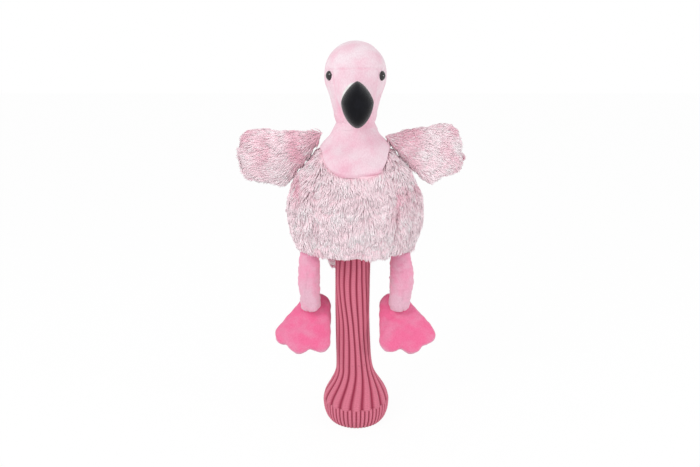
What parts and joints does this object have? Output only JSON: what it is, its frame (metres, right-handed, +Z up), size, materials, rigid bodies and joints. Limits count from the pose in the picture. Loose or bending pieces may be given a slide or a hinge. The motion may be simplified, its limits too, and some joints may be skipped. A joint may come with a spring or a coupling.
{
  "type": "driver head cover",
  "caption": "Soft golf driver cover: a stuffed pink flamingo over a padded club pocket, with bending neck, wings and dangling feet, on a long ribbed knitted sock.",
  "frame": {"origin": "centre of the cuff's mouth, on the plane that the cover stands on", "axes": "+Z up along the sock towards the head, -Y towards the bird's face, +X to the right as seen from its front"},
  "size_m": [0.2467, 0.1282, 0.4266],
  "materials": {
    "body_plush": "matte",
    "wing_plush": "matte",
    "pale_pink_velour": "matte",
    "leg_velour": "matte",
    "hot_pink_velour": "matte",
    "black_velour": "matte",
    "knitted_acrylic_rose": "matte",
    "woven_lining": "matte",
    "polyester_fibre": "matte",
    "polyester_padding": "matte",
    "eye_plastic": "gloss",
    "washer_plastic": "satin"
  },
  "bodies": {
    "root": {"back_panel": "body_plush", "belly_panel": "body_plush", "breast_panel": "pale_pink_velour", "flank_panel_left": "body_plush", "flank_panel_right": "body_plush", "nape_panel": "pale_pink_velour", "padding_back": "polyester_padding", "padding_front": "polyester_padding", "pocket_lining": "woven_lining", "sock_cuff": "knitted_acrylic_rose", "sock_tube": "knitted_acrylic_rose", "underside_panel": "body_plush"},
    "neck": {"neck_filling": "polyester_fibre"},
    "head": {"beak_filling": "polyester_fibre", "beak_left": "black_velour", "beak_right": "black_velour", "cheek_panel_left": "pale_pink_velour", "cheek_panel_right": "pale_pink_velour", "crown_panel": "pale_pink_velour", "eye_left": "eye_plastic", "eye_right": "eye_plastic", "eye_washer_left": "washer_plastic", "eye_washer_right": "washer_plastic", "face_panel": "pale_pink_velour", "head_filling": "polyester_fibre"},
    "wing_left": {"wing_back_left": "wing_plush", "wing_filling_left": "polyester_fibre", "wing_front_left": "wing_plush", "wing_tip_left": "wing_plush"},
    "wing_right": {"wing_back_right": "wing_plush", "wing_filling_right": "polyester_fibre", "wing_front_right": "wing_plush", "wing_tip_right": "wing_plush"},
    "leg_left": {"leg_filling_left": "polyester_fibre", "leg_skin_left": "leg_velour"},
    "leg_right": {"leg_filling_right": "polyester_fibre", "leg_skin_right": "leg_velour"},
    "foot_left": {"foot_filling_left": "polyester_fibre", "foot_sole_left": "hot_pink_velour", "foot_upper_left": "hot_pink_velour"},
    "foot_right": {"foot_filling_right": "polyester_fibre", "foot_sole_right": "hot_pink_velour", "foot_upper_right": "hot_pink_velour"},
    "tail": {"tail_filling": "polyester_fibre", "tail_skin": "wing_plush"}
  },
  "joints": [
    {"name": "neck_turn", "type": "hinge", "parent": "root", "child": "neck", "pos_m": [0, 0, 0.331], "axis": [0, 0, 1], "range_deg": [-30, 30], "stiffness_Nm_per_rad": 0.4},
    {"name": "neck_nod", "type": "hinge", "parent": "neck", "child": "head", "pos_m": [0, 0, 0.35], "axis": [1, 0, 0], "range_deg": [-20, 20], "stiffness_Nm_per_rad": 0.6, "springref_deg": -0.41},
    {"name": "wing_swing_left", "type": "hinge", "parent": "root", "child": "wing_left", "pos_m": [-0.05306, 0, 0.30475], "axis": [0.5932, 0, 0.8051], "range_deg": [-45, 45], "stiffness_Nm_per_rad": 0.3},
    {"name": "wing_swing_right", "type": "hinge", "parent": "root", "child": "wing_right", "pos_m": [0.05306, 0, 0.30475], "axis": [0.5932, 0, -0.8051], "range_deg": [-25, 60], "stiffness_Nm_per_rad": 0.3, "springref_deg": 0.52},
    {"name": "hip_left", "type": "hinge", "parent": "root", "child": "leg_left", "pos_m": [-0.05, -0.012, 0.1987], "axis": [-1, 0, 0], "range_deg": [-20, 60]},
    {"name": "ankle_left", "type": "hinge", "parent": "leg_left", "child": "foot_left", "pos_m": [-0.05, -0.012, 0.146], "axis": [-1, 0, 0], "range_deg": [-10, 50]},
    {"name": "hip_right", "type": "hinge", "parent": "root", "child": "leg_right", "pos_m": [0.05, -0.012, 0.1987], "axis": [-1, 0, 0], "range_deg": [-20, 60]},
    {"name": "ankle_right", "type": "hinge", "parent": "leg_right", "child": "foot_right", "pos_m": [0.05, -0.012, 0.146], "axis": [-1, 0, 0], "range_deg": [-10, 50]},
    {"name": "tail_swing", "type": "hinge", "parent": "root", "child": "tail", "pos_m": [-0.014, 0.05, 0.2057], "axis": [1, 0, 0], "range_deg": [-15, 60]}
  ]
}
